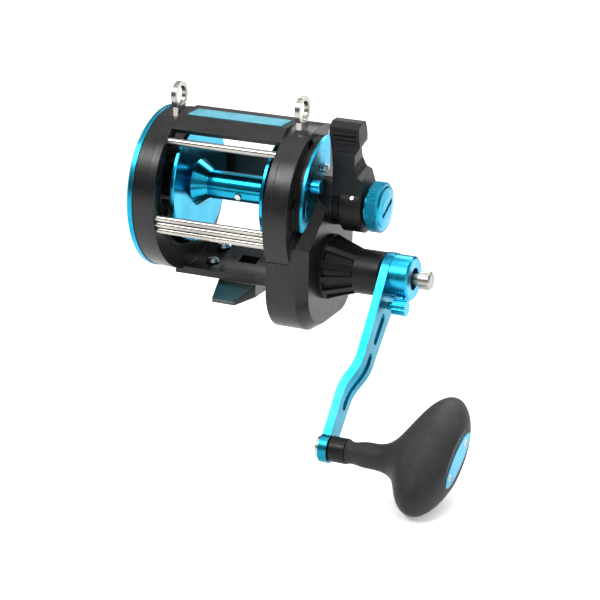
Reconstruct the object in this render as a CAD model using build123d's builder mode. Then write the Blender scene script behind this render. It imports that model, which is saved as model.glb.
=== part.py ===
from build123d import *
import math
import os

# Two-speed lever drag trolling reel.
# Frame: origin at the centre of the reel foot seat, +Z up, +X along the spool axis toward the
# handle, +Y toward the rod tip.  All sizes in millimetres.

# ---------------------------------------------------------------- axes
spool_y = -8.0
spool_z = 48.5
ring_y = spool_y
ring_z = spool_z - 3.5
main_y = spool_y - 6.0
main_z = spool_z - 28.5
gear_distance = math.hypot(main_y - spool_y, main_z - spool_z)

# ---------------------------------------------------------------- stations along X
left_face = -41.2
cap_ring_width = 3.3
ring_left_out = -31.2
ring_left_in = -27.2
flange_left_x = -23.9
flange_width = 2.0
cone_end_x = -15.7
flange_right_x = 21.6
ring_right_in = 25.8
ring_right_out = 29.1
rim_face_x = 37.0
housing_front_x = 44.8
lever_boss_x = 46.8
lever_back_x = 47.1
lever_front_x = 60.8
knob_back_x = 61.6
knob_face_x = 69.3
sleeve_end_x = 71.9
arm_back_x = 72.5
arm_front_x = 76.4
boss_front_x = 85.3
button_face_x = 93.4

# ---------------------------------------------------------------- main radii
ring_radius = 37.0
opening_radius = 29.0
flange_radius = 27.5
arbor_radius = 6.6
cone_radius = 10.7
spool_shaft_radius = 3.0
main_shaft_radius = 4.0
lobe_near = 26.5
lobe_far = 30.0
lobe_bottom = 28.5
wall = 2.4
rod_diameter = 2.8
upper_rod_diameter = 3.3
rod_circle_radius = 34.6

# ---------------------------------------------------------------- gears
gear_total_teeth = 66
gear_module = 2 * gear_distance / gear_total_teeth
high_main_teeth = 50
high_pinion_teeth = gear_total_teeth - high_main_teeth
low_main_teeth = 40
low_pinion_teeth = gear_total_teeth - low_main_teeth
low_gear_x = 30.1
high_gear_x = 34.8
gear_width = 4.0

# ---------------------------------------------------------------- crank and grip
arm_length = 84.0
arm_angle = 43.5
arm_step = 4.5
eye_y = main_y - arm_length * math.sin(math.radians(arm_angle))
eye_z = main_z - arm_length * math.cos(math.radians(arm_angle))
eye_back_x = arm_back_x - arm_step
eye_front_x = arm_front_x - arm_step
grip_tilt = -63.0

os.makedirs("parts", exist_ok=True)


def across(x, y, z, turn=0.0):
    """Sketch plane square to X; local x runs along +Y and local y along +Z, turned about X."""
    spin = math.radians(turn)
    return Plane(origin=(x, y, z), x_dir=(0, math.cos(spin), math.sin(spin)), z_dir=(1, 0, 0))


def polar(radius, angle, y=spool_y, z=spool_z):
    """Point at an angle measured from straight up toward the angler, as (y, z)."""
    a = math.radians(angle)
    return (y - radius * math.sin(a), z + radius * math.cos(a))


def turned(outline, y, z):
    """Solid turned about an axis parallel to X from a closed outline of (x, radius) points."""
    with BuildPart() as blank:
        with BuildSketch(Plane(origin=(0, y, z), x_dir=(1, 0, 0), z_dir=(0, -1, 0))):
            with BuildLine():
                Polyline(*outline, close=True)
            make_face()
        revolve(axis=Axis((0, y, z), (1, 0, 0)))
    return blank.part


def tube(x0, x1, outer, inner, y, z):
    """Plain ring or sleeve along X."""
    return turned([(x0, inner), (x1, inner), (x1, outer), (x0, outer)], y, z)


def rod(x0, x1, radius, y, z, edge=0.3):
    """Round bar along X with broken edges."""
    return turned([(x0, 0), (x0, radius - edge), (x0 + edge, radius), (x1 - edge, radius),
                   (x1, radius - edge), (x1, 0)], y, z)


def involute(base, radius):
    """Polar angle swept by the involute of a base circle at the given radius."""
    roll = math.sqrt(max(radius * radius - base * base, 0.0)) / base
    return roll - math.atan(roll)


def spur_gear(x0, width, teeth, bore, y, z, phase, backlash=0.12):
    """Involute spur gear along X; phase is the angle of one tooth centre from +Y toward +Z."""
    pitch = gear_module * teeth / 2
    base = pitch * math.cos(math.radians(20))
    tip = pitch + 0.80 * gear_module
    root = pitch - 1.10 * gear_module
    half = math.pi / (2 * teeth) - backlash / (2 * pitch) + involute(base, pitch)
    start = max(base, root + 0.05)
    flank = []
    for step in range(4):
        r = start + (tip - start) * step / 3
        flank.append((r, half - involute(base, r)))
    points = []
    for tooth in range(teeth):
        centre = math.radians(phase) + 2 * math.pi * tooth / teeth
        points.append((root * math.cos(centre - half), root * math.sin(centre - half)))
        for r, a in flank:
            points.append((r * math.cos(centre - a), r * math.sin(centre - a)))
        for r, a in reversed(flank):
            points.append((r * math.cos(centre + a), r * math.sin(centre + a)))
        points.append((root * math.cos(centre + half), root * math.sin(centre + half)))
    with BuildPart() as gear:
        with BuildSketch(across(x0, y, z)):
            with BuildLine():
                Polyline(*points, close=True)
            make_face()
            Circle(bore, mode=Mode.SUBTRACT)
        extrude(amount=width)
    return gear.part


def ball_bearing(x0, width, outer, inner, y, z):
    """Bearing as one ring with the ball channel showing on both faces."""
    mid = (outer + inner) / 2
    gap = (outer - inner) * 0.16
    return turned([(x0, inner), (x0 + width, inner), (x0 + width, mid - gap),
                   (x0 + width - 0.5, mid - gap), (x0 + width - 0.5, mid + gap),
                   (x0 + width, mid + gap), (x0 + width, outer), (x0, outer), (x0, mid + gap),
                   (x0 + 0.5, mid + gap), (x0 + 0.5, mid - gap), (x0, mid - gap)], y, z)


def folded_spring(x0, length, inner, outer, folds, sheet, y, z):
    """Bellows-shaped compression spring along X, turned from a thin zigzag."""
    low = []
    high = []
    for fold in range(folds + 1):
        x = x0 + length * fold / folds
        radius = outer - sheet if fold % 2 else inner
        low.append((x, radius))
        high.append((x, radius + sheet))
    return turned(low + high[::-1], y, z)


def lobe_corners(shrink):
    """Two corner circles of the gear lobe as (y, z, radius), near the angler first."""
    near_round = 22.0
    far_round = 16.0
    low = main_z - lobe_bottom
    return [(main_y - lobe_near + near_round, low + near_round, near_round - shrink),
            (main_y + lobe_far - far_round, low + far_round, far_round - shrink)]


def lobe_outline(shrink, roof):
    """Gear lobe with upright sides and rounded lower corners, closed by the roof points."""
    near, far = lobe_corners(shrink)
    with BuildSketch() as outline:
        for corner in (near, far):
            with Locations((corner[0], corner[1])):
                Circle(corner[2])
        with BuildLine():
            Polyline((near[0] - near[2], near[1]), *roof, (far[0] + far[2], far[1]),
                     (far[0], far[1] - far[2]), (near[0], near[1] - near[2]), close=True)
        make_face()
    return outline.sketch


def end_outline(shrink):
    """Side outline shared by the frame's right end and the right plate, in (y, z)."""
    near_y = main_y - lobe_near + shrink
    far_y = main_y + lobe_far - shrink
    with BuildSketch() as outline:
        with Locations((ring_y, ring_z)):
            Circle(ring_radius - shrink)
        add(lobe_outline(shrink, [(near_y, 26.0), (ring_y, ring_z), (far_y, 26.0)]))
    return outline.sketch


# ================================================================ frame group
rod_angles = [98.5, 103.5, 108.5]
upper_rod_angle = 38.5
base_top_radius = 36.0
base_near_y = spool_y - 7.0
base_far_y = spool_y + 19.0
pad_top_z = 6.2
left_lug_x = -29.5
right_lug_x = 30.6
lug_y = spool_y - 6.5
lug_z = spool_z + 41.0
lug_thickness = 2.4
lug_outer = 6.2
lug_hole = 4.1

foot_screw_places = [(-18.2, spool_y + 5.5), (-18.2, spool_y + 17.0),
                     (18.2, spool_y + 5.5), (18.2, spool_y + 17.0)]
plate_screw_angles = [20, 75, 130, 200, 255, 310]

with BuildPart() as frame:
    # left end ring with the spool opening
    with BuildSketch(across(ring_left_out, ring_y, ring_z)):
        Circle(ring_radius)
    extrude(amount=ring_left_in - ring_left_out)
    # right end: ring and gear lobe in one plate
    with BuildSketch(across(ring_right_in, 0, 0)):
        add(end_outline(0.0))
    extrude(amount=ring_right_out - ring_right_in)
    # top crossbar, flat on top
    with BuildSketch(across(ring_left_in, ring_y, ring_z)):
        with BuildLine():
            Polyline((-18.3, 32.1), (-12.0, 37.2), (7.0, 37.3), (9.5, 35.6), (8.5, 33.0),
                     (-2.0, 33.6), (-12.0, 32.0), (-17.0, 30.0), close=True)
        make_face()
    extrude(amount=ring_right_in - ring_left_in)
    # far bar toward the rod tip
    with BuildSketch(across(ring_left_in, ring_y, ring_z)):
        with BuildLine():
            ThreePointArc((36.5, -6.0), (36.9, 2.5), (35.6, 10.0))
            Line((35.6, 10.0), (31.8, 9.4))
            ThreePointArc((31.8, 9.4), (33.0, 2.5), (32.5, -6.0))
            Line((32.5, -6.0), (36.5, -6.0))
        make_face()
    extrude(amount=ring_right_in - ring_left_in)
    # curved bottom plate and the flat pad over the foot
    with BuildSketch(across(ring_left_out, 0, 0)):
        with Locations(((base_near_y + base_far_y) / 2, pad_top_z + 7.0)):
            Rectangle(base_far_y - base_near_y, 14.0)
        with Locations((ring_y, ring_z)):
            Circle(base_top_radius, mode=Mode.SUBTRACT)
    extrude(amount=ring_right_in - ring_left_out)
    # opening for the spool through both ends
    with BuildSketch(across(ring_left_out, spool_y, spool_z)):
        Circle(opening_radius)
    extrude(amount=ring_left_in - ring_left_out, mode=Mode.SUBTRACT)
    with BuildSketch(across(ring_right_in, spool_y, spool_z)):
        Circle(14.0)
    extrude(amount=ring_right_out - ring_right_in, mode=Mode.SUBTRACT)
    # seat of the inner bearing of the main shaft
    with BuildSketch(across(ring_right_in + 0.8, main_y, main_z)):
        Circle(6.5)
    extrude(amount=ring_right_out - ring_right_in - 0.8, mode=Mode.SUBTRACT)
    # recess of the crossbar inlay
    with Locations((0, spool_y - 5.7, spool_z + 33.7)):
        Box(46.0, 11.0, 1.0, mode=Mode.SUBTRACT)
    # window in the bottom plate
    with Locations((-2.7, spool_y + 11.6, pad_top_z + 3)):
        Box(9.0, 5.4, 12.0, mode=Mode.SUBTRACT)
    # holes and flat seats for the foot screws
    for place in foot_screw_places:
        drop = math.sqrt(base_top_radius ** 2 - (place[1] - ring_y) ** 2)
        with BuildSketch(Plane.XY.offset(pad_top_z - 1.0)):
            with Locations(place):
                Circle(1.32)
        extrude(amount=16.0, mode=Mode.SUBTRACT)
        with BuildSketch(Plane.XY.offset(ring_z - drop + 0.3)):
            with Locations(place):
                Circle(3.3)
        extrude(amount=4.0, mode=Mode.SUBTRACT)
    # holes of the cross rods
    for angle in rod_angles + [upper_rod_angle]:
        hole = polar(rod_circle_radius, angle, ring_y, ring_z)
        with BuildSketch(across(ring_left_in - 2.0, hole[0], hole[1])):
            Circle((upper_rod_diameter if angle == upper_rod_angle else rod_diameter) / 2 + 0.01)
        extrude(amount=ring_right_in - ring_left_in + 4.0, mode=Mode.SUBTRACT)
    # screw holes of the side plates in the left ring
    for angle in plate_screw_angles:
        hole = polar(33.0, angle, ring_y, ring_z)
        with BuildSketch(across(ring_left_out, hole[0], hole[1])):
            Circle(1.0)
        extrude(amount=3.0, mode=Mode.SUBTRACT)
    # slot for the left harness lug
    with Locations((left_lug_x, lug_y, spool_z + 33.0)):
        Box(lug_thickness + 0.04, 7.64, 6.2, mode=Mode.SUBTRACT)
frame.part.label = "frame"
export_step(frame.part, "parts/frame.step")

with BuildPart() as crossbar_inlay:
    with Locations((0, spool_y - 5.7, spool_z + 33.75)):
        Box(45.8, 10.8, 0.9)
    fillet(crossbar_inlay.edges().filter_by(Axis.Z), 0.6)
crossbar_inlay.part.label = "crossbar_inlay"
export_step(crossbar_inlay.part, "parts/crossbar_inlay.step")

with BuildPart() as upper_rod:
    place = polar(rod_circle_radius, upper_rod_angle, ring_y, ring_z)
    add(rod(ring_left_in - 2.0, ring_right_in + 2.0, upper_rod_diameter / 2, place[0], place[1]))
upper_rod.part.label = "upper_rod"
export_step(upper_rod.part, "parts/upper_rod.step")

with BuildPart() as lower_rods:
    for angle in rod_angles:
        place = polar(rod_circle_radius, angle, ring_y, ring_z)
        add(rod(ring_left_in - 2.0, ring_right_in + 2.0, rod_diameter / 2, place[0], place[1]))
lower_rods.part.label = "lower_rods"
export_step(lower_rods.part, "parts/lower_rods.step")

# ---------------------------------------------------------------- reel foot
foot_top_z = pad_top_z
foot_near_y = spool_y - 21.5
foot_far_y = 29.5
foot_wing_near_y = base_near_y + 8.0
foot_wing_far_y = base_far_y

with BuildPart() as reel_foot:
    # broad tongues on the seat plane
    with BuildSketch(Plane.XY):
        with BuildLine():
            Polyline((-9.2, base_near_y), (-5.7, foot_near_y), (5.7, foot_near_y),
                     (9.2, base_near_y), (9.2, base_far_y), (5.7, foot_far_y),
                     (-5.7, foot_far_y), (-9.2, base_far_y), close=True)
        make_face()
    extrude(amount=foot_top_z)
    # wings under the base, lifted off the seat, that take the screws
    with BuildSketch(Plane.XY.offset(foot_top_z - 2.5)):
        with Locations((0, (foot_wing_near_y + foot_wing_far_y) / 2)):
            Rectangle(46.0, foot_wing_far_y - foot_wing_near_y)
    extrude(amount=2.5)
    # tongues thin out toward their tips
    with BuildSketch(Plane.YZ.offset(-30.0)):
        with BuildLine():
            Polyline((base_near_y - 0.1, foot_top_z + 1), (base_near_y - 0.1, foot_top_z - 0.2),
                     (foot_near_y, 1.6), (foot_near_y - 2, 1.6), (foot_near_y - 2, foot_top_z + 1),
                     close=True)
        make_face()
        with BuildLine():
            Polyline((base_far_y + 0.1, foot_top_z + 1), (base_far_y + 0.1, foot_top_z - 0.2),
                     (foot_far_y, 1.6), (foot_far_y + 2, 1.6), (foot_far_y + 2, foot_top_z + 1),
                     close=True)
        make_face()
    extrude(amount=60.0, mode=Mode.SUBTRACT)
    for place in foot_screw_places:
        with Locations((place[0], place[1], 3.0)):
            Cylinder(1.3, 10.0, mode=Mode.SUBTRACT)
    fillet(reel_foot.edges().filter_by(Axis.Z).group_by(Axis.Y)[0], 1.0)
    fillet(reel_foot.edges().filter_by(Axis.Z).group_by(Axis.Y)[-1], 1.0)
reel_foot.part.label = "reel_foot"
export_step(reel_foot.part, "parts/reel_foot.step")

with BuildPart() as foot_screws:
    for place in foot_screw_places:
        drop = math.sqrt(base_top_radius ** 2 - (place[1] - ring_y) ** 2)
        with BuildSketch(Plane.XY.offset(ring_z - drop + 0.3)):
            with Locations(place):
                Circle(3.1)
        extrude(amount=1.6, taper=28)
        with BuildSketch(Plane.XY.offset(ring_z - drop + 0.3)):
            with Locations(place):
                Circle(1.3)
        extrude(amount=-(ring_z - drop - 3.9))
foot_screws.part.label = "foot_screws"
export_step(foot_screws.part, "parts/foot_screws.step")

# ---------------------------------------------------------------- harness lugs


def harness_lug(x):
    """Eye plate square to X standing on the top of the frame, with its foot."""
    with BuildPart() as lug:
        with BuildSketch(across(x - lug_thickness / 2, lug_y, lug_z)):
            Circle(lug_outer)
            with Locations((0, -7.6)):
                Rectangle(7.6, 7.0)
            Circle(lug_hole, mode=Mode.SUBTRACT)
        extrude(amount=lug_thickness)
        fillet(lug.edges().filter_by(GeomType.CIRCLE).sort_by(SortBy.RADIUS)[:2], 0.5)
    return lug.part


with BuildPart() as harness_lug_left:
    add(harness_lug(left_lug_x))
harness_lug_left.part.label = "harness_lug_left"
export_step(harness_lug_left.part, "parts/harness_lug_left.step")

with BuildPart() as harness_lug_right:
    add(harness_lug(right_lug_x))
harness_lug_right.part.label = "harness_lug_right"
export_step(harness_lug_right.part, "parts/harness_lug_right.step")

# ================================================================ left side
with BuildPart() as left_side_plate:
    add(turned([(left_face + 0.8, 0), (left_face + 0.8, 30.9), (left_face + cap_ring_width, 30.9),
                (left_face + cap_ring_width, 36.6), (ring_left_out, 36.8), (ring_left_out, 34.2),
                (left_face + 5.6, 34.2), (left_face + 5.6, 0)], ring_y, ring_z))
    # raised centre boss on the outer face and bearing boss inside
    add(rod(left_face, left_face + 5.0, 11.0, spool_y, spool_z, 0.6))
    add(rod(left_face + 4.0, -33.6, 9.0, spool_y, spool_z))
    with BuildSketch(across(left_face + 3.0, spool_y, spool_z)):
        Circle(6.02)
    extrude(amount=10.0, mode=Mode.SUBTRACT)
    # columns for the plate screws
    for angle in plate_screw_angles:
        hole = polar(33.0, angle, ring_y, ring_z)
        with BuildSketch(across(left_face + 5.0, hole[0], hole[1])):
            Circle(2.4)
        extrude(amount=ring_left_out - left_face - 5.0)
        with BuildSketch(across(left_face, hole[0], hole[1])):
            Circle(1.02)
        extrude(amount=12.0, mode=Mode.SUBTRACT)
    # slot of the click button
    with Locations((left_face + 3.0, spool_y - 20.0, spool_z - 8.0)):
        Box(8.0, 3.2, 9.0, mode=Mode.SUBTRACT)
left_side_plate.part.label = "left_side_plate"
export_step(left_side_plate.part, "parts/left_side_plate.step")

with BuildPart() as left_cap_ring:
    add(turned([(left_face, 31.6), (left_face + 0.6, 31.0), (left_face + cap_ring_width, 31.0),
                (left_face + cap_ring_width, 37.0), (left_face + 1.2, 37.0), (left_face, 35.6)],
               ring_y, ring_z))
    for angle in plate_screw_angles:
        hole = polar(33.0, angle, ring_y, ring_z)
        with BuildSketch(across(left_face, hole[0], hole[1])):
            Circle(1.02)
        extrude(amount=5.0, mode=Mode.SUBTRACT)
        with BuildSketch(across(left_face, hole[0], hole[1])):
            Circle(1.62)
        extrude(amount=1.2, mode=Mode.SUBTRACT)
left_cap_ring.part.label = "left_cap_ring"
export_step(left_cap_ring.part, "parts/left_cap_ring.step")

with BuildPart() as left_plate_screws:
    for angle in plate_screw_angles:
        hole = polar(33.0, angle, ring_y, ring_z)
        add(rod(left_face + 0.2, left_face + 1.2, 1.6, hole[0], hole[1], 0.2))
        add(rod(left_face + 1.2, ring_left_out + 2.5, 0.98, hole[0], hole[1], 0.1))
        with BuildSketch(across(left_face, hole[0], hole[1])):
            RegularPolygon(0.8, 6)
        extrude(amount=0.9, mode=Mode.SUBTRACT)
left_plate_screws.part.label = "left_plate_screws"
export_step(left_plate_screws.part, "parts/left_plate_screws.step")

with BuildPart() as left_shaft_bearing:
    add(ball_bearing(left_face + 3.1, 4.0, 6.0, 3.05, spool_y, spool_z))
left_shaft_bearing.part.label = "left_shaft_bearing"
export_step(left_shaft_bearing.part, "parts/left_shaft_bearing.step")

with BuildPart() as click_button:
    add(rod(left_face - 1.6, left_face + 0.5, 3.6, spool_y - 20.0, spool_z - 10.0, 0.5))
    with Locations((left_face + 3.4, spool_y - 20.0, spool_z - 10.0)):
        Box(6.4, 2.8, 4.4)
click_button.part.label = "click_button"
export_step(click_button.part, "parts/click_button.step")

with BuildPart() as click_pawl:
    with BuildSketch(across(left_face + 6.7, spool_y, spool_z)):
        with BuildLine():
            Polyline((-22.0, -12.0), (-18.0, -12.0), (-12.6, -6.6), (-13.6, -6.0),
                     (-18.0, -8.0), (-22.0, -8.0), close=True)
        make_face()
    extrude(amount=7.6)
click_pawl.part.label = "click_pawl"
export_step(click_pawl.part, "parts/click_pawl.step")

# ================================================================ spool
spool_right_end = flange_right_x
spool_left_end = -28.4
anchor_dir = (0, -0.927, -0.375)
cone_right_x = flange_right_x - flange_width - 6.2

with BuildPart() as spool:
    add(turned([(spool_left_end, 6.02), (spool_left_end, 8.0), (flange_left_x, 8.0),
                (flange_left_x, flange_radius - 0.4), (flange_left_x + 0.4, flange_radius),
                (flange_left_x + flange_width - 0.4, flange_radius),
                (flange_left_x + flange_width, flange_radius - 0.4),
                (flange_left_x + flange_width, cone_radius), (cone_end_x, arbor_radius),
                (cone_right_x, arbor_radius), (flange_right_x - flange_width, cone_radius),
                (flange_right_x - flange_width, flange_radius - 0.4),
                (flange_right_x - flange_width + 0.4, flange_radius),
                (flange_right_x - 0.4, flange_radius), (flange_right_x, flange_radius - 0.4),
                (flange_right_x, 6.02), (flange_right_x - 4.0, 6.02), (flange_right_x - 4.0, 3.8),
                (spool_left_end + 4.0, 3.8), (spool_left_end + 4.0, 6.02)], spool_y, spool_z))
    # hole of the line anchor screw, facing the angler
    with BuildSketch(Plane(origin=(-0.3, spool_y, spool_z), x_dir=(1, 0, 0), z_dir=anchor_dir)):
        Circle(1.02)
    extrude(amount=9.0, mode=Mode.SUBTRACT)
spool.part.label = "spool"
export_step(spool.part, "parts/spool.step")

with BuildPart() as line_anchor_screw:
    for height, radius, length, taper in ((4.5, 1.0, 2.2, 0), (6.67, 1.7, 0.7, 20)):
        with BuildSketch(Plane(origin=(-0.3, spool_y + height * anchor_dir[1],
                                       spool_z + height * anchor_dir[2]),
                               x_dir=(1, 0, 0), z_dir=anchor_dir)):
            Circle(radius)
        extrude(amount=length, taper=taper)
line_anchor_screw.part.label = "line_anchor_screw"
export_step(line_anchor_screw.part, "parts/line_anchor_screw.step")

with BuildPart() as spool_bearings:
    add(ball_bearing(spool_left_end, 4.0, 6.0, 3.05, spool_y, spool_z))
    add(ball_bearing(flange_right_x - 4.0, 4.0, 6.0, 3.05, spool_y, spool_z))
spool_bearings.part.label = "spool_bearings"
export_step(spool_bearings.part, "parts/spool_bearings.step")

with BuildPart() as click_ratchet:
    with BuildSketch(across(spool_left_end + 0.1, spool_y, spool_z)):
        Circle(12.2)
        with PolarLocations(12.6, 24):
            Circle(1.1, mode=Mode.SUBTRACT)
        Circle(8.02, mode=Mode.SUBTRACT)
    extrude(amount=1.8)
click_ratchet.part.label = "click_ratchet"
export_step(click_ratchet.part, "parts/click_ratchet.step")

with BuildPart() as drag_washer:
    add(tube(flange_right_x, flange_right_x + 1.5, 24.0, 8.0, spool_y, spool_z))
drag_washer.part.label = "drag_washer"
export_step(drag_washer.part, "parts/drag_washer.step")

with BuildPart() as spool_shaft:
    add(rod(left_face + 4.1, 66.0, spool_shaft_radius, spool_y, spool_z, 0.4))
spool_shaft.part.label = "spool_shaft"
export_step(spool_shaft.part, "parts/spool_shaft.step")

# ================================================================ pinion group
drive_plate_x = flange_right_x + 1.8

with BuildPart() as drive_plate:
    add(turned([(drive_plate_x, 3.05), (drive_plate_x, 24.0), (drive_plate_x + 1.6, 24.0),
                (drive_plate_x + 2.2, 22.0), (drive_plate_x + 2.2, 9.0), (drive_plate_x + 4.0, 7.0),
                (low_gear_x - 0.1, 7.0), (low_gear_x - 0.1, 4.5), (39.2, 4.5), (39.2, 3.05)],
               spool_y, spool_z))
drive_plate.part.label = "drive_plate"
export_step(drive_plate.part, "parts/drive_plate.step")

toward_main = math.degrees(math.atan2(main_z - spool_z, main_y - spool_y))

with BuildPart() as low_pinion:
    add(spur_gear(low_gear_x, gear_width, low_pinion_teeth, 4.52, spool_y, spool_z, toward_main))
low_pinion.part.label = "low_pinion"
export_step(low_pinion.part, "parts/low_pinion.step")

with BuildPart() as high_pinion:
    add(spur_gear(high_gear_x, gear_width, high_pinion_teeth, 4.52, spool_y, spool_z, toward_main))
high_pinion.part.label = "high_pinion"
export_step(high_pinion.part, "parts/high_pinion.step")

# ================================================================ right side
boss_radius = 10.5
housing_boss_radius = 9.2


def housing_outline(boss, shrink):
    """Outline of the raised gear housing: sloping shoulders from the lobe up to the boss."""
    slope = math.radians(39.0)
    rise = math.tan(slope)
    touch_y = boss * math.sin(slope)
    touch_z = spool_z + boss * math.cos(slope)
    near_y = main_y - lobe_near + shrink
    far_y = main_y + lobe_far - shrink
    roof = [(near_y, touch_z - (spool_y - touch_y - near_y) * rise),
            (spool_y - touch_y, touch_z), (spool_y + touch_y, touch_z),
            (far_y, touch_z - (far_y - spool_y - touch_y) * rise)]
    with BuildSketch() as outline:
        with Locations((spool_y, spool_z)):
            Circle(boss)
        add(lobe_outline(shrink, roof))
    return outline.sketch


def sector(inner, outer, first, last):
    """Flat ring sector between two angles about the spool axis, in (y, z)."""
    middle = (first + last) / 2
    with BuildSketch() as face:
        with BuildLine():
            ThreePointArc(polar(outer, first), polar(outer, middle), polar(outer, last))
            Line(polar(outer, last), polar(inner, last))
            ThreePointArc(polar(inner, last), polar(inner, middle), polar(inner, first))
            Line(polar(inner, first), polar(outer, first))
        make_face()
    return face.sketch


quadrant_outer = 30.2
quadrant_inner = 14.6
quadrant_first = 1.0
quadrant_last = 104.0
quadrant_back_x = 40.3
quadrant_front_x = 41.6
right_screw_angles = [-18, -62, -108]
strike_radius = 24.3
strike_angle = 61.0
strike_place = polar(strike_radius, strike_angle)
quadrant_screw_places = [polar(17.8, 22.0)]

with BuildPart() as right_side_plate:
    with BuildSketch(across(ring_right_out, 0, 0)):
        add(end_outline(0.0))
    extrude(amount=rim_face_x - ring_right_out)
    with BuildSketch(across(rim_face_x, 0, 0)):
        add(housing_outline(housing_boss_radius, 0.0))
    extrude(amount=2.8)
    with BuildSketch(across(rim_face_x + 2.8, 0, 0)):
        add(housing_outline(housing_boss_radius, 0.0))
    extrude(amount=5.0, taper=34)
    with BuildSketch(across(rim_face_x, spool_y, spool_z)):
        Circle(boss_radius)
    extrude(amount=lever_boss_x - rim_face_x)
    # raised land under the quadrant
    with BuildSketch(across(rim_face_x, 0, 0)):
        add(sector(quadrant_inner - 2.0, quadrant_outer - 0.8, quadrant_first, quadrant_last))
    extrude(amount=quadrant_back_x - rim_face_x)
    # hollow for the gears
    with BuildSketch(across(ring_right_out, 0, 0)):
        add(end_outline(wall))
    extrude(amount=34.8 - ring_right_out, mode=Mode.SUBTRACT)
    with BuildSketch(across(ring_right_out, 0, 0)):
        add(housing_outline(8.2, wall))
    extrude(amount=39.8 - ring_right_out, mode=Mode.SUBTRACT)
    # pad for the right harness lug and columns for the screws
    with Locations((32.0, lug_y, spool_z + 30.4)):
        Box(5.8, 9.6, 4.4)
    for angle in right_screw_angles:
        hole = polar(33.0, angle, ring_y, ring_z)
        with BuildSketch(across(ring_right_out, hole[0], hole[1])):
            Circle(2.6)
        extrude(amount=rim_face_x - ring_right_out)
        with BuildSketch(across(ring_right_out, hole[0], hole[1])):
            Circle(1.22)
        extrude(amount=10.0, mode=Mode.SUBTRACT)
        with BuildSketch(across(rim_face_x, hole[0], hole[1])):
            Circle(2.12)
        extrude(amount=-1.4, mode=Mode.SUBTRACT)
    with Locations((right_lug_x, lug_y, spool_z + 33.0)):
        Box(lug_thickness + 0.04, 7.64, 6.2, mode=Mode.SUBTRACT)
    # shallow pockets in the rim beside the quadrant
    for angle in (21.0, 74.0):
        pocket = polar(32.4, angle, ring_y, ring_z)
        with BuildSketch(across(rim_face_x, pocket[0], pocket[1])):
            Circle(3.1)
        extrude(amount=-1.6, mode=Mode.SUBTRACT)
    # spool shaft bore and bearing seat, main shaft bore
    with BuildSketch(across(30.0, spool_y, spool_z)):
        Circle(4.0)
    extrude(amount=20.0, mode=Mode.SUBTRACT)
    with BuildSketch(across(42.6, spool_y, spool_z)):
        Circle(7.02)
    extrude(amount=6.0, mode=Mode.SUBTRACT)
    with BuildSketch(across(35.0, main_y, main_z)):
        Circle(5.2)
    extrude(amount=14.0, mode=Mode.SUBTRACT)
    # seat of the strike stop and of the quadrant screws
    with BuildSketch(across(34.0, strike_place[0], strike_place[1])):
        Circle(2.3)
    extrude(amount=8.0, mode=Mode.SUBTRACT)
    with BuildSketch(across(39.4, strike_place[0], strike_place[1])):
        Circle(3.06)
    extrude(amount=2.0, mode=Mode.SUBTRACT)
    for place in quadrant_screw_places:
        with BuildSketch(across(34.0, place[0], place[1])):
            Circle(0.92)
        extrude(amount=8.0, mode=Mode.SUBTRACT)
right_side_plate.part.label = "right_side_plate"
export_step(right_side_plate.part, "parts/right_side_plate.step")

with BuildPart() as quadrant:
    with BuildSketch(across(quadrant_back_x, 0, 0)):
        add(sector(quadrant_inner, quadrant_outer, quadrant_first, quadrant_last))
        add(housing_outline(boss_radius + 0.3, -0.3), mode=Mode.SUBTRACT)
        add(sector(26.2, 27.4, 76.0, 93.0), mode=Mode.SUBTRACT)
        with Locations(strike_place):
            Circle(3.06, mode=Mode.SUBTRACT)
        with Locations(*quadrant_screw_places):
            Circle(0.92, mode=Mode.SUBTRACT)
    extrude(amount=quadrant_front_x - quadrant_back_x)
quadrant.part.label = "quadrant"
export_step(quadrant.part, "parts/quadrant.step")

with BuildPart() as quadrant_screws:
    for place in quadrant_screw_places:
        add(rod(35.5, quadrant_front_x, 0.9, place[0], place[1], 0.1))
        add(rod(quadrant_front_x, quadrant_front_x + 1.4, 2.2, place[0], place[1], 0.3))
        with BuildSketch(across(quadrant_front_x + 1.4, place[0], place[1])):
            RegularPolygon(1.2, 6)
        extrude(amount=-0.9, mode=Mode.SUBTRACT)
quadrant_screws.part.label = "quadrant_screws"
export_step(quadrant_screws.part, "parts/quadrant_screws.step")

with BuildPart() as right_plate_screws:
    for angle in right_screw_angles:
        hole = polar(33.0, angle, ring_y, ring_z)
        add(rod(ring_right_out + 0.1, rim_face_x - 1.4, 1.2, hole[0], hole[1], 0.1))
        add(rod(rim_face_x - 1.4, rim_face_x - 0.2, 2.1, hole[0], hole[1], 0.2))
        with BuildSketch(across(rim_face_x - 0.2, hole[0], hole[1])):
            RegularPolygon(1.1, 6)
        extrude(amount=-0.8, mode=Mode.SUBTRACT)
right_plate_screws.part.label = "right_plate_screws"
export_step(right_plate_screws.part, "parts/right_plate_screws.step")

with BuildPart() as strike_stop:
    add(rod(quadrant_front_x + 0.6, 46.7, 3.0, strike_place[0], strike_place[1], 0.4))
    add(rod(36.4, quadrant_front_x + 0.6, 2.25, strike_place[0], strike_place[1], 0.1))
strike_stop.part.label = "strike_stop"
export_step(strike_stop.part, "parts/strike_stop.step")

with BuildPart() as right_shaft_bearing:
    add(ball_bearing(42.6, 4.0, 7.0, 3.05, spool_y, spool_z))
right_shaft_bearing.part.label = "right_shaft_bearing"
export_step(right_shaft_bearing.part, "parts/right_shaft_bearing.step")

with BuildPart() as main_bearing_inner:
    add(ball_bearing(ring_right_in + 0.8, 2.5, 6.48, 4.05, main_y, main_z))
main_bearing_inner.part.label = "main_bearing_inner"
export_step(main_bearing_inner.part, "parts/main_bearing_inner.step")

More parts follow.
